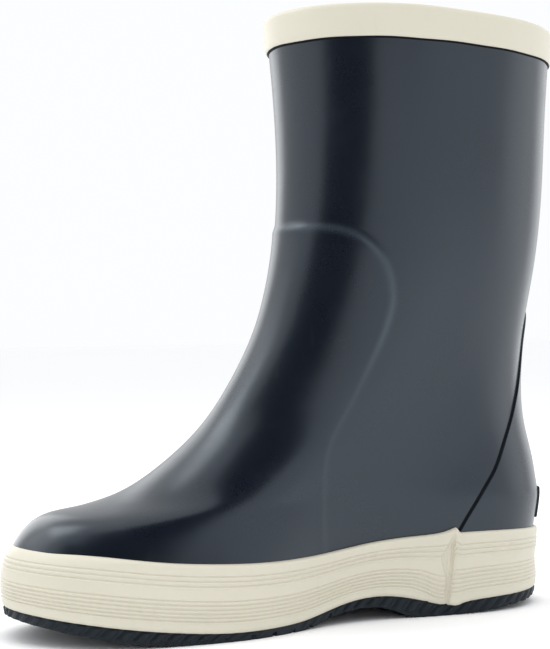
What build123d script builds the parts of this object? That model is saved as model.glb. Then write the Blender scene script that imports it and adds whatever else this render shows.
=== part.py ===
"""Rubber deck boot for a right foot: a laid-up leg and vamp, a ribbed sole band and a loose footbed.

The toe points along -Y, the inner (medial) side of the foot is +X, and the sole stands on Z = 0.
A station is a distance forward of the heel, so a point at station s lies at Y = -s.
"""

import os
from math import cos, dist, pi, sin, sqrt

from build123d import *

# Overall sizes, mm
boot_height = 238.0  # floor to the front of the rim
foot_length = 223.0  # heel to toe over the sole band
ball_width = 83.0  # skin to skin across the ball of the foot, down by the sole
leg_width = 92.0  # skin to skin across the rim

# Walls, from the outside in
binding_wall = 1.2
band_wall = 2.6
counter_wall = 0.8
patch_wall = 1.0
skin_wall = 1.8
ply_wall = 0.8
ply_gap = 0.5  # between the edges of two plies
lining_wall = 1.0

# Sole
outsole_lip = 1.6  # how far the outsole stands out under the band
tread_depth = 1.6
tread_groove = 2.0  # width of one groove
tread_pitch = 11.0
tread_slant = 32.0  # degrees
heel_height = 5.2  # height of the arch over the floor
heel_bevel = 3.4  # height of the heel's back edge over the floor
toe_spring = 6.6  # height of the toe over the floor
board_wall = 1.8
shank_width = 14.0
shank_wall = 1.5
heel_filler_wall = 6.0
forefoot_filler_wall = 3.0
filler_margin = 9.0  # outsole left around a filler

# Loose footbed
footbed_gap = 2.0  # around its edge
footbed_rest_gap = 0.3  # under it
foam_wall = 3.6
cover_wall = 0.9

# Rim
binding_height = 12.5
rim_rise = 6.4  # the front of the rim stands this much over the back

# Small patch at the back of the heel
patch_width = 29.0
patch_low = 34.5
patch_high = 47.0

# The sections below are drawn at these sizes, and are stretched from them to the sizes above
drawn_height, drawn_length, drawn_ball, drawn_leg = 238.0, 223.0, 83.0, 92.0
ankle_height = 92.0  # the foot ends and the leg starts here
points_around = 26

# height, back, front, half width at the heel, the waist and the ball
sections = [
    (-9, 0.5, 213, 27.5, 24, 41.5),
    (3, 0, 216, 28, 24, 41.5),
    (14, -0.4, 217.3, 28.5, 24, 41.5),
    (25, -0.9, 216.8, 29, 25, 39.8),
    (34, -1.8, 213, 30, 26, 37.6),
    (42, -3.2, 205.5, 30.5, 26.5, 35.7),
    (50, -3, 178, 30.2, 27.2, 34),
    (60, -1.6, 159, 29.2, 28, 33),
    (75, 1.8, 141, 28.8, 29.6, 31.6),
    (92, 2.4, 128.2, 29.4, 32, 31.4),
    (112, 0.2, 117.2, 31.6, 35, 32.4),
    (135, -4.4, 109.6, 35.6, 38.4, 35.6),
    (165, -8.2, 105.5, 39.6, 41.6, 39.6),
    (200, -10, 105.2, 42.6, 45, 42.6),
    (235, -12.2, 107.6, 45, 47.8, 45),
    (250, -13, 109, 46, 49, 46),
]
heel_round, leg_round = 35.0, 53.0  # length of the rounded end at the heel, and of both at the rim
toe_round = 51.0
toe_swing = -2.0  # the toe's middle lies this far off the heel's
lateral_fill = 0.7  # how much of the waist's hollow the outer side of the foot leaves out

# Lines along the side of the boot: station, height
band_bottom = [
    (-60, 6.6), (0, 6.8), (20, 6.2), (40, 5.2), (52, 4.4), (64, 7.2), (80, 9.3), (96, 7.3), (112, 3.9),
    (130, 3), (150, 3.3), (170, 5.2), (188, 7.6), (208, 10.6), (280, 28),
]  # fmt: skip
band_top = [
    (-60, 29), (0, 31), (25, 32.3), (60, 32), (80, 30.6), (100, 28), (120, 27),
    (145, 27.8), (170, 29.8), (190, 32.4), (208, 34), (280, 41),
]  # fmt: skip
sole_top = [
    (-60, 14), (0, 14), (50, 14.5), (80, 15.4), (112, 13), (140, 11.5), (170, 13),
    (190, 15.6), (208, 18.6), (280, 30),
]  # fmt: skip
counter_edge = [
    (-60, 150), (-15, 131), (-2, 122), (3, 113), (5, 103), (9, 91), (15, 79), (22, 67.5), (29, 55.5),
    (34.5, 48.5), (40, 41), (45, 33), (56, 12),
]  # fmt: skip
stiffener_edge = [(-60, 100), (0, 92), (12, 84), (22, 68), (30, 48), (41, 26), (48, 4)]
vamp_edge = [
    (140, 152), (104, 152.5), (93, 150), (84, 142), (76, 127), (78, 116), (84, 102), (92, 84),
    (101, 66), (103, 45), (102, 4),
]  # fmt: skip
puff_edge = [(190, 90), (176, 58), (170, 36), (171, 4)]

leg_stretch = (boot_height - ankle_height) / (drawn_height - ankle_height)
length_stretch = foot_length / drawn_length


def smooth(t):
    t = min(max(t, 0.0), 1.0)
    return t * t * (3 - 2 * t)


def mix(a, b, t):
    return a + (b - a) * t


def station(s):
    return s * length_stretch


def height(z):
    return z if z <= ankle_height else ankle_height + (z - ankle_height) * leg_stretch


def point(s, z):
    return Vector(0, -station(s), height(z))


def outline(section, inset):
    """One closed level curve around the boot, set in from the skin by a wall's thickness."""
    z, back, front, heel, waist, ball = section
    # the foot keeps the ball's width and the leg keeps the rim's; between them the two blend
    grow = mix(ball_width / drawn_ball, leg_width / drawn_leg, smooth((z - 50) / 60))
    back, front = station(back) + inset, station(front) - inset
    round_back = mix(heel_round, leg_round, smooth((z - 30) / 130)) * length_stretch - inset
    round_front = mix(toe_round, leg_round, smooth((z - 30) / 130)) * length_stretch - inset
    fill = lateral_fill * (1 - smooth((z - 35) / 50))

    def half_width(s, side):
        s /= length_stretch
        middle = mix(waist, (heel + ball) / 2, fill) if side < 0 else waist
        width = mix(mix(heel, middle, smooth((s - 30) / 55)), ball, smooth((s - 85) / 63))
        return width * grow - inset

    def edge(s, side):
        rear, fore = (s - back) / round_back, (front - s) / round_front
        end = min(1.0, rear, fore)
        lean = toe_swing * smooth((s / length_stretch - 60) / 143)
        return lean + side * half_width(s, side) * sqrt(max(0.0, 1 - (1 - end) ** 2))

    steps = [(1 - cos(pi * i / 240)) / 2 for i in range(241)]
    curve = []
    for side in (1, -1):
        run = [(edge(mix(back, front, t), side), mix(back, front, t)) for t in steps]
        if side < 0:
            run.reverse()
        lengths = [0.0]
        for a, b in zip(run, run[1:]):
            lengths.append(lengths[-1] + dist(a, b))
        half = points_around // 2
        for i in range(half):
            goal = lengths[-1] * i / half
            k = max(j for j in range(240) if lengths[j] <= goal)
            t = (goal - lengths[k]) / (lengths[k + 1] - lengths[k])
            x, s = mix(run[k][0], run[k + 1][0], t), mix(run[k][1], run[k + 1][1], t)
            curve.append(Vector(x, -s, height(z) - inset))
    even = [float(i) for i in range(points_around + 1)]
    return Wire([Edge.make_spline(curve, periodic=True, parameters=even)])


forms = {}


def form(inset):
    """The whole boot as one closed shape, set in from the skin (or out, if negative)."""
    if inset not in forms:
        forms[inset] = Solid.make_loft([outline(section, inset) for section in sections])
    return forms[inset]


def prism(edges):
    """A side view drawn in the YZ plane, pushed across the whole width of the boot."""
    reach = ball_width + leg_width
    face = Face(Wire(edges)).move(Location((-reach, 0, 0)))
    return Solid.extrude(face, Vector(2 * reach, 0, 0))


def on_line(points, up):
    return [point(s, z) + up for s, z in points]


def line(points, lift=0.0):
    return [Edge.make_spline(on_line(points, Vector(0, 0, lift)))]


def straight(*points):
    ends = [point(s, z) for s, z in points]
    return [Edge.make_line(a, b) for a, b in zip(ends, ends[1:])]


def join(edges, more):
    """Closes two rows of edges that run the same way into one loop."""
    a, b = edges[0] @ 0, edges[-1] @ 1
    c, d = more[0] @ 0, more[-1] @ 1
    return prism([*edges, Edge.make_line(b, d), *more, Edge.make_line(c, a)])


def ground(lift=0.0):
    """The line the outsole stands on: a bevelled heel, a hollow arch, a flat ball and a sprung toe."""
    up = Vector(0, 0, lift)
    heel_start, heel_end = point(50, 0) + up, point(60, 0) + up
    ball_start, ball_end = point(118, 0) + up, point(158, 0) + up
    bevel = [(-60, 1.1 * heel_bevel), (0, heel_bevel), (20, 0.58 * heel_bevel), (36, 0.2 * heel_bevel)]
    arch = [(75, 0.8 * heel_height), (89, heel_height), (104, 0.45 * heel_height)]
    toe = [(188, 0.4 * toe_spring), (208, toe_spring), (280, 4 * toe_spring)]
    flat = Vector(0, -1, 0)
    return [
        Edge.make_spline([*on_line(bevel, up), heel_start], tangents=[Vector(0, -1, -0.01), flat]),
        Edge.make_line(heel_start, heel_end),
        Edge.make_spline([heel_end, *on_line(arch, up), ball_start], tangents=[flat, flat]),
        Edge.make_line(ball_start, ball_end),
        Edge.make_spline([ball_end, *on_line(toe, up)], tangents=[flat, Vector(0, -1, 0.32)]),
    ]


def layer(outer, inner):
    return form(outer) - form(inner)


skin_in = skin_wall
ply_in = skin_in + ply_wall
wall_in = ply_in + lining_wall

# Rim: the shell, the ply and the lining end inside the fold of the binding
rim_slope = rim_rise / (drawn_length * 0.55)


def rim(drop):
    back = Vector(0, -station(-60), boot_height - drop - rim_slope * station(168))
    front = Vector(0, -station(280), boot_height - drop + rim_slope * station(172))
    return [Edge.make_line(back, front)]


wall_zone = join(line(sole_top), rim(binding_wall))
pieces = {}

# Leg and vamp
pieces["outer_shell"] = layer(0, skin_in) & wall_zone
ply = layer(skin_in, ply_in) & wall_zone


def toe_zone(back):
    """The side view of the toe puff, its edge moved back towards the heel."""
    edge = [(s - back / length_stretch, z) for s, z in puff_edge]
    return prism([*line(edge), *straight(edge[-1], (280, 4), (280, 90), edge[0])])


vamp_zone = prism([*line(vamp_edge), *straight((102, 4), (280, 4), (280, 152), (140, 152))])
stiffener_zone = prism([*line(stiffener_edge), *straight((48, 4), (-60, 4), (-60, 100))])
pieces["toe_puff"] = ply & toe_zone(0)
pieces["vamp_reinforcement"] = (ply & vamp_zone) - toe_zone(ply_gap)
pieces["heel_stiffener"] = ply & stiffener_zone
pieces["leg_canvas"] = ply - vamp_zone - stiffener_zone
pieces["sock_lining"] = layer(ply_in, wall_in) & wall_zone

# Outside trim
counter_zone = prism([*line(counter_edge), *straight((56, 12), (-60, 12), (-60, 150))])
above_band = join(line(band_top), rim(0))
pieces["heel_counter"] = layer(-counter_wall, 0) & counter_zone & above_band
patch_box = Box(patch_width, 60, patch_high - patch_low, align=(Align.CENTER, Align.MIN, Align.MIN))
patch_box = Pos(0, -station(20), patch_low) * patch_box
pieces["heel_patch"] = layer(-counter_wall - patch_wall, -counter_wall) & patch_box
binding_zone = join(rim(binding_height), rim(0))
binding = layer(-binding_wall, wall_in + binding_wall) & binding_zone
pieces["top_binding"] = binding - (layer(0, wall_in) & wall_zone)

# Sole
pieces["foxing_band"] = layer(-band_wall, 0) & join(line(band_bottom), line(band_top))


def well(back, front, depth, margin):
    """A pocket in the top of the outsole."""
    length = station(front) - station(back)
    block = Pos(0, -station(back) - length / 2, 0) * Box(ball_width * 2, length, 120)
    return form(margin) & join(line(sole_top, -depth), line(sole_top)) & block


heel_filler = well(2, 46, heel_filler_wall, filler_margin)
forefoot_filler = well(110, 200, forefoot_filler_wall, filler_margin)
shank_block = Pos(0, -station(78), 0) * Box(shank_width, station(56), 120)
shank = join(line(sole_top, -shank_wall), line(sole_top)) & shank_block

tread_zone = join(ground(-5), ground(tread_depth))
bar = Box(ball_width, tread_groove, 80, align=(Align.MIN, Align.CENTER, Align.CENTER))
chevron = Rot(0, 0, tread_slant) * bar + Rot(0, 0, 180 - tread_slant) * bar
heel_grooves = int(station(54) / tread_pitch)
ball_grooves = int((station(216) - station(119)) / tread_pitch)
groove_stations = [station(6) + i * tread_pitch for i in range(heel_grooves)]
groove_stations += [station(119) + i * tread_pitch for i in range(ball_grooves)]
grooves = [Pos(0, -s, 0) * chevron & tread_zone for s in groove_stations]

outsole = form(-outsole_lip) & join(ground(), line(band_bottom))
outsole += form(0) & join(line(band_bottom), line(sole_top))
for cut in [heel_filler, forefoot_filler, shank, *grooves]:
    outsole -= cut
pieces["outsole"] = outsole
pieces["heel_filler"] = heel_filler
pieces["forefoot_filler"] = forefoot_filler
pieces["shank"] = shank
pieces["insole_board"] = form(wall_in) & join(line(sole_top), line(sole_top, board_wall))

# Loose footbed
foam_low = board_wall + footbed_rest_gap
foam_high = foam_low + foam_wall
footbed = form(wall_in + footbed_gap)
pieces["footbed_foam"] = footbed & join(line(sole_top, foam_low), line(sole_top, foam_high))
pieces["footbed_cover"] = footbed & join(line(sole_top, foam_high), line(sole_top, foam_high + cover_wall))

# The origin is the middle of the boot's box, on the floor
box = Compound([solid for piece in pieces.values() for solid in piece.solids()]).bounding_box()
shift = Location((-(box.min.X + box.max.X) / 2, -(box.min.Y + box.max.Y) / 2, -box.min.Z))
os.makedirs("parts", exist_ok=True)
for name, piece in pieces.items():
    solids = [solid.moved(shift) for solid in piece.solids()]
    export_step(solids[0] if len(solids) == 1 else Compound(solids), f"parts/{name}.step")
    print(name, len(solids), round(sum(solid.volume for solid in solids)))
print("shift", shift.position, "size", box.size)
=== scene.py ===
import math

import bmesh
import bpy
import numpy as np
from mathutils import Matrix, Vector
from mathutils.bvhtree import BVHTree


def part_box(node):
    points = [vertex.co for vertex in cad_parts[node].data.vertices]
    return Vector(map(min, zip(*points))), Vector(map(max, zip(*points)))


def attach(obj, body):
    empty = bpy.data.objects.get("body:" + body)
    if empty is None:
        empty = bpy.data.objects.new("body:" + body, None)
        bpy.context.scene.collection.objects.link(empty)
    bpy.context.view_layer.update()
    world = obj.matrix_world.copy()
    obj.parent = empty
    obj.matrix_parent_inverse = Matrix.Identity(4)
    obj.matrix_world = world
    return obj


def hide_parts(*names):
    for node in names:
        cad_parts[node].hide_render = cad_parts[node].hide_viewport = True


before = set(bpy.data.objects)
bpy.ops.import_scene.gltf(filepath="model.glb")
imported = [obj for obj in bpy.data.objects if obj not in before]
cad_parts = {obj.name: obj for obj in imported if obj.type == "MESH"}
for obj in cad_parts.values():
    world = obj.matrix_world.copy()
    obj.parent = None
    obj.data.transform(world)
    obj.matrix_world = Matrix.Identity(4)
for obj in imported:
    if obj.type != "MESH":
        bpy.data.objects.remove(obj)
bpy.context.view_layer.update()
mm = 0.001
boot = {"heelAt": 103.45}  # the stations below count forward from the heel, this far behind the origin, mm
print("frame loaded:", len(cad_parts), "nodes")


class Wire:
    # a socket that can be used in plain arithmetic
    def __init__(self, paint, socket):
        self.paint, self.socket = paint, socket

    def math(self, operation, other=None, turned=False):
        first, second = (other, self) if turned else (self, other)
        values = {0: first} if second is None else {0: first, 1: second}
        return self.paint.node("ShaderNodeMath", {"operation": operation}, values)

    def __add__(self, other):
        return self.math("ADD", other)

    def __radd__(self, other):
        return self.math("ADD", other, True)

    def __sub__(self, other):
        return self.math("SUBTRACT", other)

    def __rsub__(self, other):
        return self.math("SUBTRACT", other, True)

    def __mul__(self, other):
        return self.math("MULTIPLY", other)

    def __rmul__(self, other):
        return self.math("MULTIPLY", other, True)

    def __truediv__(self, other):
        return self.math("DIVIDE", other)


class Paint:
    # one material and its nodes
    def __init__(self, name):
        self.material = bpy.data.materials.new(name)
        self.material.use_nodes = True
        self.tree = self.material.node_tree
        self.tree.nodes.clear()
        self.place = self.node("ShaderNodeTexCoord", out="Object")

    def node(self, kind, settings=None, values=None, out=0):
        made = self.tree.nodes.new(kind)
        for key, value in (settings or {}).items():
            if key == "stops":
                ramp = made.color_ramp.elements
                while len(ramp) > 1:
                    ramp.remove(ramp[-1])
                for i, (at, color) in enumerate(value):
                    stop = ramp[0] if i == 0 else ramp.new(at)
                    stop.position, stop.color = at, (*color, 1)
            else:
                setattr(made, key, value)
        for key, value in (values or {}).items():
            if isinstance(value, Wire):
                self.tree.links.new(value.socket, made.inputs[key])
            else:
                made.inputs[key].default_value = value
        return Wire(self, made.outputs[out]) if made.outputs else None

    def noise(self, scale, detail=3.0, rough=0.55, place=None, stretch=None, twist=0.0):
        spot = place or self.place
        if stretch:
            spot = self.node("ShaderNodeMapping", None, {"Vector": spot, "Scale": stretch})
        values = {"Vector": spot, "Scale": scale, "Detail": detail, "Roughness": rough, "Distortion": twist}
        return self.node("ShaderNodeTexNoise", None, values, "Fac")

    def ramp(self, value, stops, out="Color"):
        return self.node("ShaderNodeValToRGB", {"stops": stops}, {"Fac": value}, out)

    def band(self, value, low, high):
        # 0 below low, 1 above high, soft between them
        values = {"Value": value, "From Min": low, "From Max": high}
        return self.node("ShaderNodeMapRange", {"interpolation_type": "SMOOTHSTEP"}, values, "Result")

    def mixColor(self, share, first, second):
        first = first if isinstance(first, Wire) else (*first, 1)
        second = second if isinstance(second, Wire) else (*second, 1)
        values = {0: share, 6: first, 7: second}
        return self.node("ShaderNodeMix", {"data_type": "RGBA"}, values, 2)

    def bump(self, height, strength, distance, normal=None):
        values = {"Height": height, "Strength": strength, "Distance": distance}
        if normal:
            values["Normal"] = normal
        return self.node("ShaderNodeBump", None, values)

    def finish(self, **sockets):
        values = {key.replace("_", " "): value for key, value in sockets.items()}
        values = {key: (*v, 1) if isinstance(v, tuple) else v for key, v in values.items()}
        shader = self.node("ShaderNodeBsdfPrincipled", None, values)
        self.node("ShaderNodeOutputMaterial", None, {"Surface": shader})
        return self.material


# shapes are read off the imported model
def facesOf(node):
    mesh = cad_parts[node].data
    mesh.calc_loop_triangles()
    spots = np.empty(len(mesh.vertices) * 3)
    mesh.vertices.foreach_get("co", spots)
    corners = np.empty(len(mesh.loop_triangles) * 3, dtype=np.int32)
    mesh.loop_triangles.foreach_get("vertices", corners)
    spots = spots.reshape(-1, 3)
    _, keep, again = np.unique(np.round(spots, 7), axis=0, return_index=True, return_inverse=True)
    return spots[keep], again.reshape(-1)[corners].reshape(-1, 3)


def treeOf(node):
    # the same faces, ready for rays
    return BVHTree.FromPolygons(*[part.tolist() for part in facesOf(node)])


def cutLevel(spots, corners, z):
    # closed loops where the model meets one height
    gap = spots[:, 2] - z
    gap[np.abs(gap) < 1e-9] = 1e-9
    above = gap > 0
    count = above[corners].sum(axis=1)
    cut = corners[(count > 0) & (count < 3)]
    crossings = []
    for a, b in ((0, 1), (1, 2), (2, 0)):
        crossing = above[cut[:, a]] != above[cut[:, b]]
        low = np.minimum(cut[:, a], cut[:, b]).astype(np.int64)
        high = np.maximum(cut[:, a], cut[:, b])
        crossings.append(np.where(crossing, low * len(spots) + high, -1))
    keys = np.sort(np.stack(crossings, axis=1), axis=1)[:, 1:]
    beside = {}
    for a, b in keys.tolist():
        beside.setdefault(a, []).append(b)
        beside.setdefault(b, []).append(a)
    loops, seen = [], set()
    for start in beside:
        if start in seen:
            continue
        chain, at = [], start
        while at is not None and at not in seen:
            seen.add(at)
            chain.append(at)
            at = next((n for n in beside[at] if n not in seen), None)
        ends = np.array(chain)
        a, b = ends // len(spots), ends % len(spots)
        share = (gap[a] / (gap[a] - gap[b]))[:, None]
        loops.append(spots[a] + (spots[b] - spots[a]) * share)
    return loops


def evenRing(loop, count):
    # the same loop as even points, from the heel's middle round by the inner side
    x, after = loop[:, 0], np.roll(loop, -1, axis=0)
    ends = []
    for i in np.nonzero((x > 0) != (after[:, 0] > 0))[0]:
        share = x[i] / (x[i] - after[i, 0])
        ends.append((loop[i] + (after[i] - loop[i]) * share, i))
    ends.sort(key=lambda e: e[0][1])
    (fore, iFore), (rear, iRear) = ends[0], ends[-1]

    def walk(a, iA, b, iB):
        n = len(loop)
        steps = (iB - iA) % n
        middle = loop[[(iA + 1 + k) % n for k in range(steps)]]
        return np.vstack([a, middle, b])

    one, two = walk(rear, iRear, fore, iFore), walk(fore, iFore, rear, iRear)
    if one[len(one) // 2, 0] < 0:
        one, two = two[::-1], one[::-1]
    ring = []
    for run in (one, two):
        far = np.concatenate([[0], np.cumsum(np.linalg.norm(np.diff(run, axis=0), axis=1))])
        goal = np.linspace(0, far[-1], count // 2, endpoint=False)
        ring.append(np.stack([np.interp(goal, far, run[:, k]) for k in range(3)], axis=1))
    return np.vstack(ring)


def ringsOf(node, heights, count, outer=True):
    spots, corners = facesOf(node)
    rings = []
    for z in heights:
        loops = cutLevel(spots, corners, z)
        loops.sort(key=lambda l: np.ptp(l[:, 1]))
        rings.append(evenRing(loops[-1 if outer else 0], count))
    return np.array(rings)


def soften(grid, along, around, times=1):
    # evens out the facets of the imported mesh
    for _ in range(times):
        for axis, width in ((0, along), (1, around)):
            if not width:
                continue
            reach = int(3 * width) + 1
            kernel = np.exp(-0.5 * (np.arange(-reach, reach + 1) / width) ** 2)
            kernel /= kernel.sum()
            if axis == 1:
                padded = np.concatenate([grid[:, -reach:], grid, grid[:, :reach]], axis=1)
            else:
                low = 2 * grid[:1] - grid[1:reach + 1][::-1]
                high = 2 * grid[-1:] - grid[-reach - 1:-1][::-1]
                padded = np.concatenate([low, grid, high], axis=0)
            size = grid.shape[axis]
            grid = sum(k * np.take(padded, range(i, i + size), axis=axis) for i, k in enumerate(kernel))
    return grid


def outward(grid):
    # unit normals of a closed-around grid, pointing out of the boot
    around = np.roll(grid, -1, axis=1) - np.roll(grid, 1, axis=1)
    along = np.gradient(grid, axis=0)
    normal = np.cross(around, along)
    normal /= np.linalg.norm(normal, axis=2, keepdims=True) + 1e-12
    middle = normal[len(grid) // 2, 0]
    return normal if middle[1] > 0 else -normal


def flatOut(ring):
    # level unit vectors pointing out of a closed ring
    run = np.roll(ring, -1, axis=0) - np.roll(ring, 1, axis=0)
    out = np.stack([run[:, 1], -run[:, 0], 0 * run[:, 0]], axis=1)
    out /= np.linalg.norm(out, axis=1, keepdims=True)
    return out if out[0, 1] > 0 else -out


def smooth(t):
    t = np.clip(t, 0, 1)
    return t * t * (3 - 2 * t)


def curveThrough(points, count=200):
    # a smooth line through a few points, in millimetres
    points = np.array(points, float)
    far = np.concatenate([[0], np.cumsum(np.linalg.norm(np.diff(points, axis=0), axis=1))])
    slope = np.gradient(points, far, axis=0)
    goal = np.linspace(0, far[-1], count)
    k = np.clip(np.searchsorted(far, goal, side="right") - 1, 0, len(far) - 2)
    h = (far[k + 1] - far[k])[:, None]
    t = (goal - far[k])[:, None] / h
    p, q, u, v = points[k], points[k + 1], slope[k] * h, slope[k + 1] * h
    near = (2 * t**3 - 3 * t**2 + 1) * p + (t**3 - 2 * t**2 + t) * u
    return near + (3 * t**2 - 2 * t**3) * q + (t**3 - t**2) * v


def sideView(stations, count=200):
    # a seam drawn in the side view as stations and heights
    return curveThrough([(boot["heelAt"] - s, z) for s, z in stations], count)


def sideOf(spots, curve):
    # signed distance in the side view from a curve: + on its left as it is walked
    best, sign = np.full(spots.shape[:-1], 1e9), np.ones(spots.shape[:-1])
    for a, b in zip(curve[:-1], curve[1:]):
        edge, off = b - a, spots - a
        t = np.clip((off @ edge) / (edge @ edge), 0, 1)
        gap = np.linalg.norm(off - t[..., None] * edge, axis=-1)
        closer = gap < best
        cross = edge[0] * off[..., 1] - edge[1] * off[..., 0]
        best, sign = np.where(closer, gap, best), np.where(closer, np.sign(cross), sign)
    return best * sign


def gridPiece(name, grid, material, closed=True, flip=False):
    rows, columns = grid.shape[:2]
    mesh = bpy.data.meshes.new(name)
    index = np.arange(rows * columns).reshape(rows, columns)
    if closed:
        index = np.concatenate([index, index[:, :1]], axis=1)
    a, b, c, d = index[:-1, :-1], index[:-1, 1:], index[1:, 1:], index[1:, :-1]
    quads = np.stack([a, b, c, d] if flip else [d, c, b, a], axis=-1).reshape(-1, 4)
    mesh.from_pydata(grid.reshape(-1, 3).tolist(), [], quads.tolist())
    mesh.polygons.foreach_set("use_smooth", np.ones(len(quads), dtype=bool))
    # a flat map of the sheet in metres: around, then up
    full = np.concatenate([grid, grid[:, :1]], axis=1) if closed else grid
    u = np.zeros(full.shape[:2])
    u[:, 1:] = np.cumsum(np.linalg.norm(np.diff(full, axis=1), axis=2), axis=1)
    u = np.broadcast_to(u.mean(axis=0), u.shape)
    v = np.zeros(full.shape[:2])
    v[1:] = np.cumsum(np.linalg.norm(np.diff(full, axis=0), axis=2), axis=0)
    v = np.broadcast_to(v.mean(axis=1)[:, None], v.shape)
    corner = [(slice(None, -1), slice(None, -1)), (slice(None, -1), slice(1, None)),
              (slice(1, None), slice(1, None)), (slice(1, None), slice(None, -1))]
    corner = corner if flip else corner[::-1]
    flat = np.stack([np.stack([u[s], v[s]], axis=-1) for s in corner], axis=2)
    layer = mesh.uv_layers.new(name="sheet")
    layer.data.foreach_set("uv", flat.astype(np.float32).ravel())
    mesh.update()
    piece = bpy.data.objects.new(name, mesh)
    bpy.context.scene.collection.objects.link(piece)
    mesh.materials.append(material)
    return piece


def capEnds(piece, ringSize):
    # closes the two ends of a tube-like grid
    mesh = piece.data
    solid = bmesh.new()
    solid.from_mesh(mesh)
    solid.verts.ensure_lookup_table()
    count = len(solid.verts)
    for ends in (range(ringSize), range(count - ringSize, count)):
        solid.faces.new([solid.verts[i] for i in ends]).smooth = True
    bmesh.ops.recalc_face_normals(solid, faces=solid.faces)
    solid.to_mesh(mesh)
    solid.free()


def rubberPaint(name, color, worn, rough, grain, waves, level, tint, ridge=None):
    # cured rubber: a slow cloudiness, fine bloom, faint vertical rub marks, and a painted highlight along
    # ridges
    paint = Paint(name)
    cloud = paint.noise(30, 4)
    fine = paint.noise(2400, 2)
    slow = paint.noise(70, 2)
    rubs = paint.band(paint.noise(420, 4, 0.6, stretch=(1, 1, 0.12), twist=0.4), 0.58, 0.78)
    bloom = paint.band(paint.noise(160, 6, 0.7), 0.52, 0.8)
    base = paint.mixColor(cloud * 0.45 + rubs * 0.3 + bloom * 0.25, color, worn)
    # ridge, when given, is a paler colour: a painted highlight laid where the skin's ridge attribute says
    if ridge:
        ridgeHighlight = paint.node("ShaderNodeAttribute", {"attribute_name": "ridge"}, out="Fac")
        base = paint.mixColor(ridgeHighlight * (0.75 + 0.5 * cloud), base, ridge)
    gloss = rough + (cloud - 0.5) * 0.08 + rubs * 0.05 + bloom * 0.05
    skin = paint.bump(fine, grain, 0.0001)
    skin = paint.bump(slow, waves, 0.0012, skin)
    return paint.finish(Base_Color=base, Roughness=gloss, Normal=skin, Specular_IOR_Level=level,
                        Specular_Tint=tint)


# the navy rubber's last colour is the painted highlight along the ply's edge
legPaint = rubberPaint("navyRubber", (0.003, 0.0055, 0.0115), (0.008, 0.011, 0.020), 0.28, 0.06, 0.05,
                       0.74, (0.80, 0.92, 1.0), (0.026, 0.034, 0.045))
solePaint = rubberPaint("soleRubber", (0.004, 0.0065, 0.011), (0.012, 0.017, 0.023), 0.5, 0.25, 0.1,
                        0.3, (0.85, 0.95, 1.0))
trimPaint = rubberPaint("creamRubber", (0.655, 0.620, 0.516), (0.595, 0.557, 0.455), 0.42, 0.08, 0.05,
                        0.4, (1.0, 1.0, 1.0))


def cementAndShadePaint():
    # the dark line where a laid-on piece ends: rubber cement, and painted shade of the gap at the step
    paint = Paint("cementAndShadeLine")
    speck = paint.noise(1500, 3)
    base = paint.mixColor(speck, (0.003, 0.004, 0.006), (0.008, 0.010, 0.013))
    return paint.finish(Base_Color=base, Roughness=0.8, Normal=paint.bump(speck, 0.3, 0.0002),
                        Specular_IOR_Level=0.12)


cementAndShadeLine = cementAndShadePaint()


def knitPaint():
    # fine jersey: rows of small V stitches
    paint = Paint("knitLining")
    flat = paint.node("ShaderNodeUVMap", {"uv_map": "sheet"})
    parts = paint.node("ShaderNodeSeparateXYZ", None, {0: flat}).socket.node.outputs
    across, up = Wire(paint, parts[0]), Wire(paint, parts[1])
    rib = (across * (math.tau / 0.0016)).math("SINE")
    lean = rib.math("ABSOLUTE") * 0.5
    stitch = ((up * (math.tau / 0.0013)) + lean * 3).math("SINE")
    height = rib.math("ABSOLUTE") * 0.6 + stitch * 0.25
    cloud = paint.noise(60, 4)
    base = paint.mixColor(cloud, (0.60, 0.57, 0.50), (0.47, 0.45, 0.40))
    # darker in the low places between the stitches: painted shade
    base = paint.mixColor(paint.band(height, 0.05, 0.55), (0.30, 0.28, 0.25), base)
    return paint.finish(Base_Color=base, Roughness=0.9, Normal=paint.bump(height, 0.7, 0.0003),
                        Sheen_Weight=0.2)


liningPaint = knitPaint()


def wovenPaint():
    # plain weave of the footbed's cover
    paint = Paint("footbedCloth")
    parts = paint.node("ShaderNodeSeparateXYZ", None, {0: paint.place}).socket.node.outputs
    warp = (Wire(paint, parts[0]) * (math.tau / 0.0011)).math("SINE")
    weft = (Wire(paint, parts[1]) * (math.tau / 0.0011)).math("SINE")
    height = warp * weft
    cloud = paint.noise(80, 4)
    base = paint.mixColor(cloud, (0.22, 0.24, 0.27), (0.15, 0.165, 0.19))
    # darker where the weave dips: painted shade
    base = paint.mixColor(paint.band(height, -0.9, 0.1), (0.08, 0.09, 0.105), base)
    return paint.finish(Base_Color=base, Roughness=0.85, Normal=paint.bump(height, 0.5, 0.0002),
                        Sheen_Weight=0.2)


footbedPaint = wovenPaint()


def foamPaint():
    # open-cell foam: pores over a pale grey, their dark colour painted shade inside the cells
    paint = Paint("footbedFoam")
    pores = paint.band(paint.node("ShaderNodeTexVoronoi", None, {"Vector": paint.place, "Scale": 1500},
                                  "Distance"), 0.12, 0.5)
    cloud = paint.noise(90, 4)
    base = paint.mixColor(cloud, (0.40, 0.40, 0.385), (0.30, 0.30, 0.29))
    # the pores' dark colour is painted shade
    base = paint.mixColor(pores, (0.12, 0.12, 0.115), base)
    return paint.finish(Base_Color=base, Roughness=0.92, Normal=paint.bump(pores, 0.6, 0.0003))


foamMaterial = foamPaint()


def plainPaint(name, color, other, scale, rough, metal=0.0):
    paint = Paint(name)
    speck = paint.noise(scale, 5, 0.65)
    base = paint.mixColor(speck, color, other)
    grain = paint.bump(speck, 0.3, 0.0003)
    return paint.finish(Base_Color=base, Roughness=rough, Metallic=metal, Normal=grain)


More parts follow.
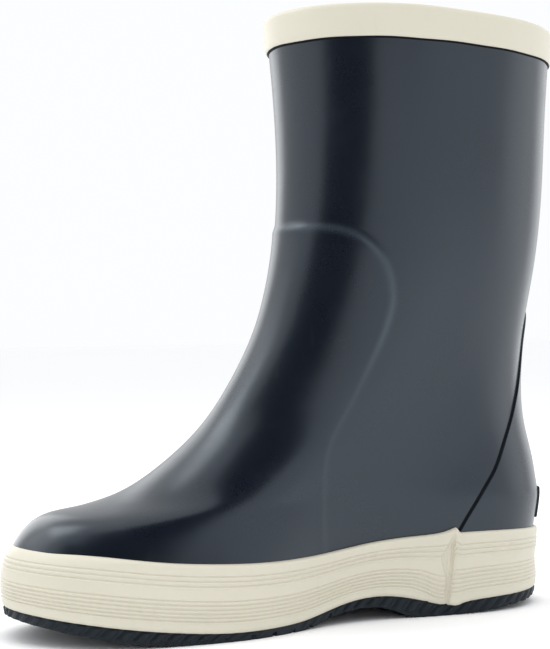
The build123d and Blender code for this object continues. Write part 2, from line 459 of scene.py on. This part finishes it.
hiddenPaints = {
    "leg_canvas": plainPaint("rubberedCanvas", (0.46, 0.42, 0.35), (0.33, 0.30, 0.25), 900, 0.85),
    "toe_puff": plainPaint("stiffFelt", (0.31, 0.28, 0.24), (0.21, 0.19, 0.16), 500, 0.9),
    "insole_board": plainPaint("fibreBoard", (0.42, 0.32, 0.21), (0.30, 0.22, 0.14), 300, 0.85),
    "shank": plainPaint("springSteel", (0.52, 0.53, 0.55), (0.42, 0.43, 0.45), 700, 0.35, 1.0),
    "heel_filler": plainPaint("spongeRubber", (0.20, 0.19, 0.18), (0.10, 0.10, 0.09), 800, 0.95),
}
hiddenPaints["vamp_reinforcement"] = hiddenPaints["leg_canvas"]
hiddenPaints["heel_stiffener"] = hiddenPaints["toe_puff"]
hiddenPaints["forefoot_filler"] = hiddenPaints["heel_filler"]
for node, material in {**hiddenPaints, "outsole": solePaint}.items():
    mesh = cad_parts[node].data
    mesh.materials.clear()
    mesh.materials.append(material)
print("materials made")


# the leg and vamp, one skin; the plies under it show as soft steps
skin = {
    "around": 420, "along": 270,
    "bottom": 0.0215, "top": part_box("outer_shell")[1].z - 0.0085,
    "plyEdge": [(140, 152), (104, 153), (94, 152), (86, 148.3), (79.5, 141.5), (76, 133.5), (75, 125),
                (77.5, 114), (82.5, 102), (91, 85), (101, 66), (103, 45), (102, 14)],
    "plyStep": 0.42, "plySoft": 3.4, "plyBead": 0.3, "beadWidth": 1.5,  # mm
    "frontStep": 0.8,  # how much taller the step is down the front
    "ridgeWidth": 1.25,  # mm, of the painted highlight along the ply's edge
    "toeFull": 2.2,  # mm, how much fuller the skin's toe is than the plain model's
}
coarse = np.linspace(skin["bottom"], skin["top"], 110)
profile = ringsOf("outer_shell", coarse, 8)[:, 4]
far = np.concatenate([[0], np.cumsum(np.linalg.norm(np.diff(profile, axis=0), axis=1))])
# rings lie even down the front, where the vamp runs flattest
pace = far + 0.35 * (coarse - coarse[0]) * far[-1] / (coarse[-1] - coarse[0])
levels = np.interp(np.linspace(0, pace[-1], skin["along"]), pace, coarse)
skinGrid = soften(ringsOf("outer_shell", levels, skin["around"]), 2.2, 2.2, 2)
skinNormal = outward(skinGrid)
side = skinGrid[:, :, 1:] / mm
plyGap = sideOf(side, sideView(skin["plyEdge"]))
heights = [20, 30, 60, 72, 96, 112, 200]
beadShare = np.interp(side[..., 1], heights, [0.7, 0.7, 0.6, 0.25, 0.3, 1, 1])
stepShare = np.interp(side[..., 1], [30, 60, 110], [0.5, 0.7, 0.8])
facesFront = smooth((-skinNormal[..., 1] - 0.7) / 0.25)
stepShare = stepShare + skin["frontStep"] * facesFront * smooth((side[..., 1] - 110) / 20)
lift = smooth(0.5 - 0.5 * plyGap / skin["plySoft"]) * stepShare * skin["plyStep"]
stationsUp = boot["heelAt"] - side[..., 0]
lift += skin["toeFull"] * smooth((stationsUp - 183) / 24) * smooth((60 - side[..., 1]) / 16)
lift += np.exp(-((plyGap + 0.6) / skin["beadWidth"]) ** 2) * beadShare * skin["plyBead"]
legSkin = gridPiece("legAndVampSkin", skinGrid + skinNormal * (lift * mm)[..., None], legPaint)
# where the painted highlight lies along the ply's edge, stronger higher up, stored on the skin
ridge = np.interp(side[..., 1], [25, 60, 90, 115, 200], [0.1, 0.3, 0.4, 1, 1])
ridge = ridge * np.exp(-((plyGap + 0.3) / (skin["ridgeWidth"] * (0.55 + 0.6 * ridge))) ** 2)
ridgeHighlight = legSkin.data.attributes.new("ridge", "FLOAT", "POINT")
ridgeHighlight.data.foreach_set("value", ridge.astype(np.float32).ravel())
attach(legSkin, "boot")
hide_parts("outer_shell")
print("leg and vamp made")


def skinAt(z):
    # the skin's ring and its normals at one height
    k = int(np.clip(np.searchsorted(levels, z) - 1, 0, len(levels) - 2))
    t = (z - levels[k]) / (levels[k + 1] - levels[k])
    return (skinGrid[k] * (1 - t) + skinGrid[k + 1] * t, skinNormal[k] * (1 - t) + skinNormal[k + 1] * t)


def arcsOf(ring):
    # distance round a ring from the heel's middle, with the whole length last
    turned = np.vstack([ring, ring[:1]])
    return np.concatenate([[0], np.cumsum(np.linalg.norm(np.diff(turned, axis=0), axis=1))])


def laidOn(heights, reach, columns):
    # a patch laid on the skin round the heel's middle; reach gives both ends of each row
    ease = np.linspace(-1, 1, columns)
    ease = np.sign(ease) * (1 - (1 - np.abs(ease)) ** 1.6)
    spots, outs, insides = [], [], []
    for z in heights:
        ring, normal = skinAt(z)
        far = arcsOf(ring)
        at = np.concatenate([far[:-1] - far[-1], far])
        ringTwice = np.vstack([ring, ring, ring[:1]])
        normalTwice = np.vstack([normal, normal, normal[:1]])
        left, right = reach(z)
        goal = np.where(ease < 0, -ease * left, ease * right)
        spots.append(np.stack([np.interp(goal, at, ringTwice[:, k]) for k in range(3)], axis=1))
        outs.append(np.stack([np.interp(goal, at, normalTwice[:, k]) for k in range(3)], axis=1))
        insides.append(np.minimum(goal - left, right - goal))
    return np.array(spots), np.array(outs), np.array(insides)


def rounded(gap, radius):
    # a quarter round that rises from 0 at an edge to 1 at the radius
    return np.sqrt(np.clip(1 - (1 - np.clip(gap / radius, 0, 1)) ** 2, 0, 1))


counter = {
    "edge": [(-15, 131), (-2, 122), (3, 113), (5, 103), (9, 91), (15, 79), (22, 67.5), (29, 55.5),
             (34.5, 48.5), (40, 41), (45, 33), (56, 12)],
    "low": 0.0255, "rows": 170, "columns": 121,
    "thick": 0.9 * mm, "round": 0.45 * mm,
    "cementAndShade": 0.9 * mm,  # width of the line along the edge
}
counterCurve = sideView(counter["edge"], 400)[::-1] * mm


def counterReach(z):
    # how far the counter runs round the heel at this height, on both sides
    ring = skinAt(z)[0]
    far = arcsOf(ring)
    y = np.interp(z, counterCurve[:, 1], counterCurve[:, 0])
    half = len(ring) // 2
    inner = np.interp(-y, -ring[:half, 1], far[:half])
    outer = np.interp(-y, -ring[:half:-1, 1], far[-1] - far[:-1][:half:-1])
    return -outer, inner


tries = np.linspace(0.13, 0.10, 300)
counterTop = next(z for z in tries if counterReach(z)[1] > 0.6 * mm)
rise = 1 - (1 - np.linspace(0, 1, counter["rows"])) ** 1.6
rows = counter["low"] + (counterTop - counter["low"]) * rise
spot, out, inside = laidOn(rows, counterReach, counter["columns"])
edgeGap = np.minimum(inside, (counterTop - rows)[:, None])
height = rounded(edgeGap, counter["round"]) * (counter["thick"] + 0.15 * mm) - 0.15 * mm
heelCounter = gridPiece("heelCounter", spot + out * height[..., None], legPaint, closed=False)
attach(heelCounter, "boot")
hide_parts("heel_counter")

# the line of cement and painted shade follows the edge up one side, over the top and down the other
around = np.vstack([spot[:, 0], spot[::-1, -1]])
normal = np.vstack([out[:, 0], out[::-1, -1]])
along = np.gradient(around, axis=0)
across = np.cross(along, normal)
across /= np.linalg.norm(across, axis=1, keepdims=True) + 1e-12
if across[10] @ (spot[10, 0] - spot[10, 1]) < 0:
    across = -across
across = soften(across[:, None], 3, 0)[:, 0]
strip = [around + across * w * counter["cementAndShade"] + normal * h * mm
         for w, h in ((-0.15, 0.35), (0.1, 0.28), (0.35, 0.12), (0.7, 0.06), (1.0, -0.05))]
cementAndShade = gridPiece("counterCementAndShade", np.array(strip), cementAndShadeLine, closed=False)
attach(cementAndShade, "boot")
print("heel counter made, its top at", round(counterTop, 4))

patchLow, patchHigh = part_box("heel_patch")
patch = {
    "rows": 40, "columns": 61,
    "half": (patchHigh.x - patchLow.x) / 2, "thick": 1.0 * mm, "round": 0.6 * mm,
}
rows = np.linspace(patchLow.z, patchHigh.z, patch["rows"])
spot, out, inside = laidOn(rows, lambda z: (-patch["half"], patch["half"]), patch["columns"])
edgeGap = np.minimum(inside, np.minimum(rows - patchLow.z, patchHigh.z - rows)[:, None])
height = counter["thick"] - 0.2 * mm + rounded(edgeGap, patch["round"]) * (patch["thick"] + 0.2 * mm)
heelPatch = gridPiece("heelPatch", spot + out * height[..., None], solePaint, closed=False)
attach(heelPatch, "boot")
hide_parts("heel_patch")
print("heel patch made")


# the binding, folded over the rim
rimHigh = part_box("top_binding")[1]
binding = {
    "around": 400,
    # its section, mm out from the skin and down from the rim's top
    "fold": [(0.05, 12.3), (0.55, 12.75), (1.05, 12.45), (1.3, 11.5), (1.38, 9), (1.4, 6), (1.38, 3),
             (1.28, 1.4), (0.9, 0.42), (0.1, 0.05), (-1.2, 0), (-2.7, 0.03), (-3.9, 0.35), (-4.65, 1.2),
             (-4.85, 3), (-4.85, 7), (-4.8, 10.6), (-4.6, 11.8), (-4.0, 12.2), (-3.6, 12)],
    "waver": 0.09,  # mm, laid by hand
}
rimTree = treeOf("top_binding")
rimRing = ringsOf("outer_shell", [skin["top"]], binding["around"])
rimRing = soften(rimRing, 0, 2.5, 2)[0]
rimOut = flatOut(rimRing)
rimTop = []
for p, n in zip(rimRing, rimOut):
    at = p - n * 1.2 * mm
    hit = rimTree.ray_cast(Vector((at[0], at[1], rimHigh.z + 0.02)), Vector((0, 0, -1)))
    rimTop.append(hit[0].z if hit[0] else rimHigh.z)
rimTop = soften(np.array(rimTop)[None, :, None], 0, 3, 2)[0, :, 0]
lean = (skinGrid[-1] - skinGrid[-30]) / (skinGrid[-1, :, 2:] - skinGrid[-30, :, 2:])
share = np.linspace(0, 1, binding["around"], endpoint=False)
skinShare = np.linspace(0, 1, skin["around"], endpoint=False)
lean = np.stack([np.interp(share, skinShare, lean[:, k]) for k in range(3)], axis=1)
waver = np.sin(share * math.tau * 7 + 0.6) + 0.8 * np.sin(share * math.tau * 13 + 2.1)
rows = []
for across, down in curveThrough(binding["fold"], 64):
    z = rimTop - (down + binding["waver"] * waver * (down > 5)) * mm
    base = rimRing + lean * (z - rimRing[:, 2])[:, None]
    rows.append(base + rimOut * ((across + 0.5 * binding["waver"] * waver) * mm)[:, None])
topBinding = gridPiece("topBinding", np.array(rows), trimPaint)
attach(topBinding, "boot")
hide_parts("top_binding")

# the line of cement and painted shade under the binding's lower edge
strip = []
for across, down in ((0.75, 12.1), (0.7, 12.75), (0.35, 13.1), (0.06, 13.35), (-0.1, 13.5)):
    z = rimTop - (down + binding["waver"] * waver) * mm
    strip.append(rimRing + lean * (z - rimRing[:, 2])[:, None] + rimOut * across * mm)
rimCementAndShade = gridPiece("bindingCementAndShade", np.array(strip), cementAndShadeLine)
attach(rimCementAndShade, "boot")
print("top binding made")


# the knitted lining
lining = {"around": 360, "rows": 150, "bottom": 0.0205, "top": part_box("sock_lining")[1].z - 0.0085}
liningLevels = np.linspace(lining["bottom"], lining["top"], lining["rows"])
liningGrid = soften(ringsOf("sock_lining", liningLevels, lining["around"], outer=False), 2, 2, 2)
foot = liningGrid[:1] - np.array([0, 0, 0.006])
head = liningGrid[-1:] + (liningGrid[-1:] - liningGrid[-2:-1]) * 2
sockLining = gridPiece("sockLining", np.concatenate([foot, liningGrid, head]), liningPaint, flip=True)
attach(sockLining, "boot")
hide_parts("sock_lining")
print("lining made")


# the ribbed sole band, one strip whose ends lap on the inner side
band = {
    "around": 1000, "across": 180, "finer": 240,  # extra points round the lap
    # fine grooves, as shares of the way down, and their depth and half width in mm
    "grooves": [0.175, 0.245, 0.315, 0.53, 0.59, 0.65, 0.71, 0.765, 0.82],
    "depth": 0.36, "width": 0.26, "ridge": 0.2,
    "lipRound": 1.2, "hemRound": 1.8,  # mm
    "join": 46.9, "joinLean": 3.4,  # station of the lap's edge at the top, and how far it leans forward, mm
    "joinRise": 2.0, "joinRidge": 0.8, "joinPress": 0.85, "joinDip": 2.6,  # mm
    "heelWaist": 0.55,  # mm, hollow in the band's face at the back of the heel
}
bandLow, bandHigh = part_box("foxing_band")
bandTree = treeOf("foxing_band")
seed = soften(ringsOf("outer_shell", [0.0275], band["around"]), 0, 3, 2)[0]
far = arcsOf(seed)
awayFromLap = np.abs(boot["heelAt"] - band["join"] - seed[:, 1] / mm) + (seed[:, 0] < 0) * 1e3
atLap = far[np.argmin(awayFromLap)]
lapSpots = np.linspace(atLap - 6 * mm, atLap + 12 * mm, band["finer"])
seedAt = np.unique(np.concatenate([far[:-1], lapSpots]))
seed = np.stack([np.interp(seedAt, far, np.append(seed[:, k], seed[0, k])) for k in range(3)], axis=1)
seedOut = soften(flatOut(seed)[None], 0, 3, 1)[0]
seedOut /= np.linalg.norm(seedOut, axis=1, keepdims=True)
around = len(seed)


def fillGaps(values):
    # bridges the places round a ring where no ray hit
    known = ~np.isnan(values)
    n = len(values)
    at = np.arange(n)
    spots = np.concatenate([at[known] - n, at[known], at[known] + n])
    return np.interp(at, spots, np.tile(values[known], 3))


def standsOut(tree, z):
    # how far a face stands out from the seed ring at these heights
    away, reach = 0.02, 0.035
    found = []
    for p, n, height in zip(seed, seedOut, z):
        start = Vector((p[0] + n[0] * away, p[1] + n[1] * away, height))
        hit = tree.ray_cast(start, Vector((-n[0], -n[1], 0)), reach)
        found.append(away - hit[3] if hit[0] else np.nan)
    return fillGaps(np.array(found))


def bandEnd(direction):
    # height of the band's top or bottom edge round the boot
    heights = []
    for p, n in zip(seed, seedOut):
        best = np.nan
        for off in (1.3, 0.7, 1.9, 0.1, 2.4, -0.6):
            z = bandHigh.z + 0.02 if direction < 0 else bandLow.z - 0.02
            start = Vector((p[0] + n[0] * off * mm, p[1] + n[1] * off * mm, z))
            hit = bandTree.ray_cast(start, Vector((0, 0, direction)))
            if hit[0] and abs(hit[1].z) > 0.6:
                best = hit[0].z
                break
        heights.append(best)
    return soften(fillGaps(np.array(heights))[None, :, None], 0, 4, 2)[0, :, 0]


bandTop, bandBottom = bandEnd(-1), bandEnd(1)
shares = np.linspace(0.03, 0.97, 9)
faces = np.array([standsOut(bandTree, bandBottom + (bandTop - bandBottom) * s) for s in shares])
# evened on the even ring, then put back on the finer one
even = np.array([np.interp(far[:-1], seedAt, row) for row in faces])
even = soften(even[:, :, None], 0, 8, 2)[:, :, 0]
faces = np.array([np.interp(seedAt, far[:-1], row) for row in even])
faces = soften(faces[:, :, None], 0.6, 0)[:, :, 0] / mm
bandHeight = (bandTop - bandBottom) / mm
stations = boot["heelAt"] - seed[:, 1] / mm
gap = np.where(seed[:, 0] > 0, stations - band["join"], 1e3)  # forward of the lap's edge
peak = np.where(gap > 0, np.exp(-np.abs(gap / 4.2) ** 1.3), np.exp(-(gap / 1.1) ** 2))
atHeel = smooth((26 - stations) / 16)
atToe = smooth((stations - 180) / 30)
ends = np.linspace(0, 0.06, 14)
downs = np.concatenate([ends[:-1], np.linspace(0.06, 0.94, band["across"] - 26), 1 - ends[-2::-1]])
rows = []
for s in downs:
    down = s * bandHeight
    out = np.array([np.interp(1 - s, shares, faces[:, i]) for i in range(around)])
    # the lap at this height: a raised edge, a leaf-shaped pressed fold before it, a slight swell behind
    near = gap - band["joinLean"] * s
    leaf = np.interp(s, [0, 0.12, 0.34, 0.6, 1], [0.6, 2.5, 6.0, 3.2, 2.4])
    edge = np.exp(-(near / 0.42) ** 2)
    folded = smooth(near / 0.6) * smooth((leaf - near) / 1.3)
    pulled = smooth((near + 0.1) / 3) * smooth((17 - near) / 14)
    behind = smooth((-near - 0.2) / 0.8) * smooth((near + 14) / 12)
    # the front strip's grooves dip into the fold, most of all the lower ones
    shift = down - band["joinDip"] * pulled * smooth((s - 0.25) / 0.5)
    for share in band["grooves"]:
        off = shift - share * bandHeight
        out -= band["depth"] * np.exp(-(off / band["width"]) ** 2) * (1 - 0.75 * folded)
        out += band["ridge"] * np.exp(-((off - 0.55) / 0.35) ** 2) * (1 - 0.75 * folded)
    out -= band["heelWaist"] * atHeel * np.sin(math.pi * np.clip((s - 0.28) / 0.5, 0, 1))
    out -= (1 - rounded(down, band["lipRound"] + 4 * atToe)) * (1.7 + 0.7 * atToe)
    out -= (1 - rounded(bandHeight - down, band["hemRound"])) * 1.1
    narrow = smooth((s - 0.03) / 0.2)
    crease = 0.12 * np.sin(near * 3.6 + 9 * s)
    out += band["joinRidge"] * edge * (0.3 + 0.7 * narrow) + 0.35 * behind
    out += (crease - band["joinPress"]) * folded * narrow * (1 - 0.4 * smooth((s - 0.8) / 0.2))
    z = bandTop / mm - down + peak * band["joinRise"] * (1 - s) ** 3
    z = z - 0.7 * np.exp(-(gap / 2.5) ** 2) * s ** 4
    rows.append(np.column_stack([seed[:, :2] + seedOut[:, :2] * out[:, None] * mm, z * mm]))
tucked = [rows[0] - seedOut * 2.4 * mm - np.array([0, 0, 0.001]), rows[0] - seedOut * 1.2 * mm]
bandGrid = np.array([*tucked, *rows, rows[-1] - seedOut * 2.2 * mm])
soleBand = gridPiece("soleBand", bandGrid, trimPaint, flip=True)
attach(soleBand, "boot")
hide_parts("foxing_band")
print("sole band made")


# the outsole's edge: slanted lugs run down it from the band to the ground
lugs = {
    "rows": 30, "pitch": 5.5, "slant": 4.5,  # mm forward from top to bottom
    "height": 0.9, "notch": 1.3, "lipRound": 0.7, "proud": 0.12,  # mm
}
soleTree = treeOf("outsole")


def groundUnder():
    # height of the ground face just inside the outsole's edge, evened over the tread grooves
    heights = []
    for p, n in zip(seed, seedOut):
        tries = []
        for off in (0.8, 0.2, -0.6):
            start = Vector((p[0] + n[0] * off * mm, p[1] + n[1] * off * mm, -0.02))
            hit = soleTree.ray_cast(start, Vector((0, 0, 1)))
            if hit[0] and hit[0].z < bandLow.z + 0.008:
                tries.append(hit[0].z)
        heights.append(min(tries) if tries else np.nan)
    return fillGaps(np.array(heights))


ground = groundUnder()
widest = np.lib.stride_tricks.sliding_window_view(np.pad(ground, 8, mode="wrap"), 17).min(axis=1)
ground = soften(widest[None, :, None], 0, 5, 2)[0, :, 0]
sole = bandBottom - ground
shares = np.linspace(0.15, 0.92, 5)
sides = np.array([standsOut(soleTree, ground + sole * (1 - s)) for s in shares])
sides = np.minimum(sides, np.median(sides, axis=0) + 0.6 * mm)
sides = soften(sides[:, :, None], 0, 5, 2)[:, :, 0] / mm
count = round(far[-1] / mm / lugs["pitch"])
turn = seedAt / far[-1] * count
forward = np.where(seed[:, 0] > 0, 1.0, -1.0)
rows = []
for s in np.linspace(-0.12, 1, lugs["rows"]):
    t = min(max(s, 0), 1)
    out = np.array([np.interp(t, shares, sides[:, i]) for i in range(around)])
    phase = (turn - forward * t * lugs["slant"] / lugs["pitch"]) % 1
    lug = smooth(phase / 0.2) * smooth((1 - phase) / 0.5)
    out += lugs["proud"] + lugs["height"] * (lug - 0.35) * smooth(t / 0.12)
    out -= (1 - rounded((1 - t) * sole / mm + 0.08, lugs["lipRound"])) * 0.9
    z = bandBottom - s * sole + (lugs["notch"] * (1 - lug) * t ** 3) * mm
    z = np.maximum(z, 0.02 * mm)
    rows.append(np.column_stack([seed[:, :2] + seedOut[:, :2] * out[:, None] * mm, z]))
rows.append(rows[-1] - seedOut * 3 * mm + np.array([0, 0, 0.00025]))
soleEdge = gridPiece("outsoleEdge", np.array(rows), solePaint, flip=True)
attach(soleEdge, "boot")
print("outsole edge made")


# the loose footbed: a cut foam with a woven cover stuck on it
footbed = {
    "along": 150, "across": 44,
    "roundness": 0.32,  # of the foam's edge: 1 is a full round, 0 a square
    "cup": 1.0, "archRise": 1.6,  # mm
    "cover": 0.75, "coverShort": 0.972,  # the cover's thickness in mm, and how near the edge it reaches
}
foamLow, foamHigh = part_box("footbed_foam")
foamTree = treeOf("footbed_foam")
turn = np.linspace(0, math.pi, footbed["along"])
middleY, halfY = (foamLow.y + foamHigh.y) / 2, (foamHigh.y - foamLow.y) / 2 - 0.15 * mm
foamRows, coverRows = [], []


def topAt(high, s, t):
    # the foam's upper face at station s, t from -1 to 1 across: cupped heel, raised arch
    cup = footbed["cup"] * np.abs(t) ** 4 * smooth((75 - s) / 40)
    arch = footbed["archRise"] * smooth((t - 0.3) / 0.7) * smooth((s - 35) / 30) * smooth((125 - s) / 35)
    return high + (cup + arch) * mm


for y in middleY - halfY * np.cos(turn):
    # the foam's top, bottom and sides at this station, felt out by rays
    x = (foamLow.x + foamHigh.x) / 2
    high = foamTree.ray_cast(Vector((x, y, 0.1)), Vector((0, 0, -1)))[0].z
    low = foamTree.ray_cast(Vector((x, y, -0.05)), Vector((0, 0, 1)))[0].z
    middle = (high + low) / 2
    right = foamTree.ray_cast(Vector((0.1, y, middle)), Vector((-1, 0, 0)))[0].x
    left = foamTree.ray_cast(Vector((-0.1, y, middle)), Vector((1, 0, 0)))[0].x
    s = boot["heelAt"] - y / mm
    centre, half = (left + right) / 2, (right - left) / 2
    angle = np.linspace(0, math.tau, footbed["across"] * 2, endpoint=False)
    wide = np.sign(np.cos(angle)) * np.abs(np.cos(angle)) ** footbed["roundness"]
    tall = np.sign(np.sin(angle)) * np.abs(np.sin(angle)) ** footbed["roundness"]
    thick = topAt(high, s, wide) - low
    ring = np.column_stack([centre + half * wide, np.full(len(angle), y), low + thick * (tall + 1) / 2])
    foamRows.append(ring)
    t = np.sin(np.linspace(-1, 1, footbed["across"]) * math.pi / 2) * footbed["coverShort"]
    yShort = middleY + (y - middleY) * footbed["coverShort"]
    endGap = math.sqrt(max(1 - ((middleY - y) / halfY) ** 2, 0))
    turned = rounded(1 - np.abs(t) / footbed["coverShort"], 0.03) * rounded(endGap, 0.2)
    z = topAt(high, s, t) + (0.1 + footbed["cover"] * turned) * mm
    coverRows.append(np.column_stack([centre + half * t, np.full(len(t), yShort), z]))
footbedFoam = gridPiece("footbedFoam", np.array(foamRows), foamMaterial, flip=True)
ringSize = footbed["across"] * 2
capEnds(footbedFoam, ringSize)
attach(footbedFoam, "footbed")
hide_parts("footbed_foam")
footbedCover = gridPiece("footbedCover", np.array(coverRows), footbedPaint, closed=False)
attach(footbedCover, "footbed")
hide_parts("footbed_cover")


# floor, light and camera
floorPaint = Paint("paleFloor")
floorMaterial = floorPaint.finish(Base_Color=(0.985, 0.985, 0.985), Roughness=1.0, Specular_IOR_Level=0.1)
floorMesh = bpy.data.meshes.new("floor")
floorMesh.from_pydata([(-40, -40, 0), (40, -40, 0), (40, 40, 0), (-40, 40, 0)], [], [(0, 1, 2, 3)])
floor = bpy.data.objects.new("floor", floorMesh)
floorMesh.materials.append(floorMaterial)
bpy.context.scene.collection.objects.link(floor)

studio = {"color": (0.97, 0.985, 1.0), "strength": 1.0}
world = bpy.data.worlds.new("studio")
bpy.context.scene.world = world
world.use_nodes = True
worldNodes = world.node_tree.nodes
worldNodes["Background"].inputs["Color"].default_value = (*studio["color"], 1)
worldNodes["Background"].inputs["Strength"].default_value = studio["strength"]
bpy.context.scene.view_settings.view_transform = "Standard"

lights = {
    # place, aim, width, height and power, in metres and watts
    "topBox": ((0.1, -0.1, 1.5), (0, 0, 0.1), 1.2, 1.2, 9),
    "farBox": ((-0.95, -0.2, 0.38), (0, -0.05, 0.1), 0.5, 0.8, 1.7),
    "backBox": ((-0.51, 1.09, 0.35), (0, 0, 0.12), 0.6, 0.8, 1.1),
    "rightBox": ((0.30, 1.1, 0.35), (0, 0, 0.12), 0.6, 0.8, 0.7),
    "frontBox": ((-0.55, -0.78, 0.81), (0, 0, 0.1), 0.7, 0.7, 1.5),
    "toeBox": ((-0.145, -0.258, 0.43), (0.014, -0.099, 0.041), 0.18, 0.18, 0.27),
}
for name, (place, aim, width, tall, power) in lights.items():
    lamp = bpy.data.lights.new(name, "AREA")
    lamp.shape, lamp.size, lamp.size_y, lamp.energy = "RECTANGLE", width, tall, power
    holder = bpy.data.objects.new(name, lamp)
    holder.location = place
    holder.visible_camera = False
    holder.visible_glossy = name != "topBox"
    holder.visible_diffuse = name != "toeBox"
    holder.rotation_mode = "QUATERNION"
    holder.rotation_quaternion = (Vector(aim) - Vector(place)).to_track_quat("-Z", "Y")
    bpy.context.scene.collection.objects.link(holder)

flags = {
    # black panels that only reflections see: place, aim, width and height in metres
    "frontFlag": ((0.291, -0.421, 0.31), (0, 0.045, 0.31), 0.47, 0.615),
    "overheadFlag": ((0.55, -0.10, 0.62), (0.02, -0.05, 0.06), 0.7, 0.9),
}
flagPaint = Paint("blackFlag")
flagMaterial = flagPaint.finish(Base_Color=(0.004, 0.004, 0.005), Roughness=1.0, Specular_IOR_Level=0.0)
for name, (place, aim, width, tall) in flags.items():
    flagMesh = bpy.data.meshes.new(name)
    x, y = width / 2, tall / 2
    flagMesh.from_pydata([(-x, -y, 0), (x, -y, 0), (x, y, 0), (-x, y, 0)], [], [(0, 1, 2, 3)])
    flagMesh.materials.append(flagMaterial)
    panel = bpy.data.objects.new(name, flagMesh)
    panel.location = place
    panel.rotation_mode = "QUATERNION"
    panel.rotation_quaternion = (Vector(aim) - Vector(place)).to_track_quat("-Z", "Y")
    bpy.context.scene.collection.objects.link(panel)
    panel.visible_camera = panel.visible_diffuse = panel.visible_shadow = False

view = {
    "place": (0.6110, -0.2663, 0.10955),
    "aim": (0.0, -0.00634, 0.11535),
    "roll": -1.052, "lens": 93.4,
}
lens = bpy.data.cameras.new("camera")
lens.lens, lens.sensor_width = view["lens"], 36
camera = bpy.data.objects.new("camera", lens)
camera.rotation_mode = "QUATERNION"
camera.location = view["place"]
facing = (Vector(view["aim"]) - Vector(view["place"])).to_track_quat("-Z", "Y")
camera.rotation_quaternion = facing @ Matrix.Rotation(math.radians(view["roll"]), 3, "Z").to_quaternion()
bpy.context.scene.collection.objects.link(camera)
bpy.context.scene.camera = camera
